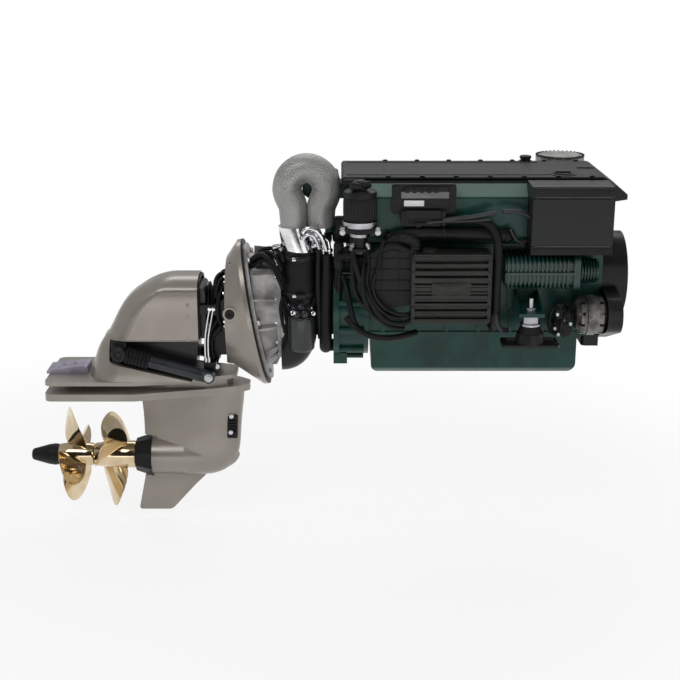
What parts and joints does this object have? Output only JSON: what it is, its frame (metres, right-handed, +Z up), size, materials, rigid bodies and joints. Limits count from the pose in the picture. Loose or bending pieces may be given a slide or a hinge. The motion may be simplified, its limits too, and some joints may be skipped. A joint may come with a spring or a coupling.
{
  "type": "stern drive engine",
  "caption": "Inline marine diesel with a transom shield and a steerable, tilting stern drive leg carrying two counter-rotating propellers.",
  "frame": {"origin": "where the crankshaft line meets the outside of the transom, on the centreline", "axes": "+X to the bow, +Y to port, +Z up; the transom leans 10 degrees with its top aft"},
  "size_m": [2.124, 0.722, 1.347],
  "materials": {
    "taupe_paint": "satin",
    "green_paint": "satin",
    "black_paint": "satin",
    "black_plastic": "matte",
    "black_rubber": "matte",
    "cast_aluminium": "as cast",
    "polished_steel": "polished",
    "steel": "machined",
    "bronze": "polished",
    "zinc": "cast",
    "woven_lagging": "woven"
  },
  "bodies": {
    "engine": {"transom_shield": "taupe_paint", "flywheel_housing": "green_paint", "engine_block": "green_paint", "oil_pan": "green_paint", "cylinder_head": "green_paint", "intake_manifold": "green_paint", "supercharger": "green_paint", "mount_bracket_starboard": "green_paint", "mount_bracket_port": "green_paint", "heat_exchanger": "green_paint", "exhaust_manifold": "green_paint", "turbocharger": "green_paint", "charge_cooler": "black_paint", "filter_box": "black_paint", "belt_guard": "black_paint", "mount_foot_starboard": "black_paint", "mount_foot_port": "black_paint", "exhaust_outlet": "black_paint", "starter_motor": "black_paint", "top_cover": "black_plastic", "control_unit": "black_plastic", "shield_plugs": "black_plastic", "intake_ducts": "black_plastic", "breather_filter": "black_plastic", "fuel_filter": "black_plastic", "transom_seal": "black_rubber", "drive_belt": "black_rubber", "mount_rubbers": "black_rubber", "exhaust_hose": "black_rubber", "coolant_hose": "black_rubber", "fuel_hoses": "black_rubber", "wiring_loom": "black_rubber", "bell_housing": "cast_aluminium", "alternator": "cast_aluminium", "exhaust_pipes": "polished_steel", "exhaust_clamps": "polished_steel", "mount_studs": "steel", "exhaust_riser": "woven_lagging"},
    "steering_fork": {"steering_fork": "black_paint", "hydraulic_pipes": "polished_steel", "bellows_front": "black_rubber"},
    "drive_leg": {"leg_housing": "taupe_paint", "gearcase": "taupe_paint", "helmet_cover": "taupe_paint", "helmet_cap": "taupe_paint", "water_grilles": "black_plastic", "shaft_collar": "black_plastic", "anode_plate": "zinc", "bellows_rear": "black_rubber"},
    "forward_propeller": {"front_propeller": "bronze"},
    "after_propeller": {"rear_propeller": "bronze", "nose_cone": "black_plastic"},
    "barrel_starboard": {"trim_barrel_starboard": "black_paint"},
    "barrel_port": {"trim_barrel_port": "black_paint"},
    "rod_starboard": {"trim_rod_starboard": "polished_steel"},
    "rod_port": {"trim_rod_port": "polished_steel"},
    "crank": {"crankshaft": "steel", "crank_pulley": "steel"},
    "alternator_rotor": {"alternator_pulley": "steel"},
    "filler_cap": {"oil_filler_cap": "black_plastic"}
  },
  "joints": [
    {"name": "steer", "type": "hinge", "parent": "engine", "child": "steering_fork", "pos_m": [-0.075, 0, 0], "axis": [0, 0, 1], "range_deg": [-28, 28], "deforming": ["bellows_front"]},
    {"name": "tilt", "type": "hinge", "parent": "steering_fork", "child": "drive_leg", "pos_m": [-0.225, 0, 0], "axis": [0, 1, 0], "range_deg": [-2, 44], "deforming": ["bellows_rear"]},
    {"name": "after_propeller_turn", "type": "hinge", "parent": "drive_leg", "child": "after_propeller", "pos_m": [-0.728, 0, -0.581], "axis": [1, 0, 0], "continuous": true},
    {"name": "forward_propeller_turn", "type": "hinge", "parent": "drive_leg", "child": "forward_propeller", "pos_m": [-0.599, 0, -0.581], "axis": [1, 0, 0], "continuous": true},
    {"name": "crank_turn", "type": "hinge", "parent": "engine", "child": "crank", "pos_m": [0, 0, 0], "axis": [1, 0, 0], "continuous": true},
    {"name": "alternator_turn", "type": "hinge", "parent": "engine", "child": "alternator_rotor", "pos_m": [1.212, -0.238, 0.024], "axis": [1, 0, 0], "continuous": true},
    {"name": "filler_cap_turn", "type": "hinge", "parent": "engine", "child": "filler_cap", "pos_m": [1.061, -0.11, 0.482], "axis": [0, 0, 1], "range_deg": [0, 90]},
    {"name": "barrel_starboard_swing", "type": "hinge", "parent": "steering_fork", "child": "barrel_starboard", "pos_m": [-0.154, -0.134, -0.234], "axis": [0, 1, 0], "range_deg": [-2.14, 26.05]},
    {"name": "rod_starboard_swing", "type": "hinge", "parent": "drive_leg", "child": "rod_starboard", "pos_m": [-0.466, -0.134, -0.147], "axis": [0, 1, 0], "range_deg": [-19.95, 1.86]},
    {"name": "barrel_port_swing", "type": "hinge", "parent": "steering_fork", "child": "barrel_port", "pos_m": [-0.154, 0.134, -0.234], "axis": [0, 1, 0], "range_deg": [-2.14, 26.05]},
    {"name": "rod_port_swing", "type": "hinge", "parent": "drive_leg", "child": "rod_port", "pos_m": [-0.466, 0.134, -0.147], "axis": [0, 1, 0], "range_deg": [-19.95, 1.86]}
  ],
  "couplings": [
    {"joint": "after_propeller_turn", "follows": "forward_propeller_turn", "ratio": -1},
    {"joint": "alternator_turn", "follows": "crank_turn", "ratio": 3.0667},
    {"joint": "barrel_starboard_swing", "follows": "tilt", "ratio": 0.5693},
    {"joint": "rod_starboard_swing", "follows": "tilt", "ratio": -0.4307},
    {"joint": "barrel_port_swing", "follows": "tilt", "ratio": 0.5693},
    {"joint": "rod_port_swing", "follows": "tilt", "ratio": -0.4307}
  ]
}
